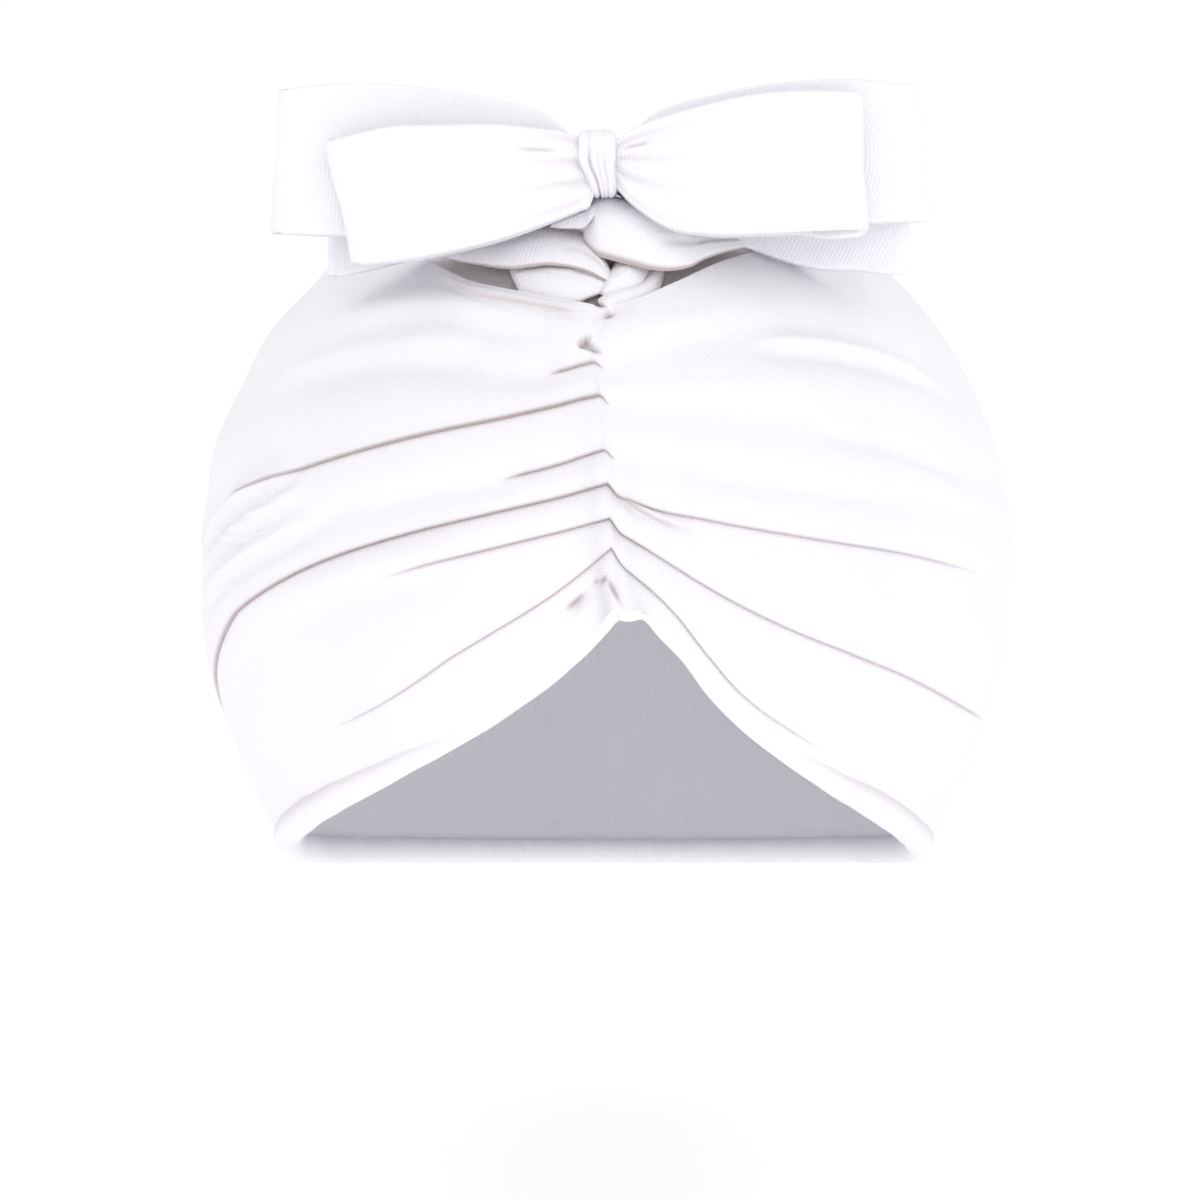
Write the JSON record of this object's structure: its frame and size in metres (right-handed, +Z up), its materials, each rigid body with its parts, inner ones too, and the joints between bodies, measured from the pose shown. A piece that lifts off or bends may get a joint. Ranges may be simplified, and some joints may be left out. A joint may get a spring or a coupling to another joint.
{
  "type": "baby knot turban hat",
  "caption": "Soft doubled-jersey turban hat for a baby, drawn up along a centre front seam, with a rolled edge, a knot and stacked bow loops on top.",
  "frame": {"origin": "the inside top of the crown, where it sits on a head", "axes": "+Z is up as worn, -Y is the front with the centre seam and the bow, +X is the wearer's left"},
  "size_m": [0.1489, 0.1666, 0.1634],
  "materials": {
    "white_jersey": "soft matt knit"
  },
  "bodies": {
    "root": {"crown": "white_jersey", "rolled_hem": "white_jersey", "front_bow": "white_jersey", "back_bow": "white_jersey", "under_bow": "white_jersey", "bow_tie": "white_jersey", "knot_wrap_right": "white_jersey", "knot_wrap_left_upper": "white_jersey", "knot_wrap_left_lower": "white_jersey", "knot_tuck": "white_jersey", "knot_loop_upper": "white_jersey", "knot_loop_lower": "white_jersey"}
  },
  "joints": []
}
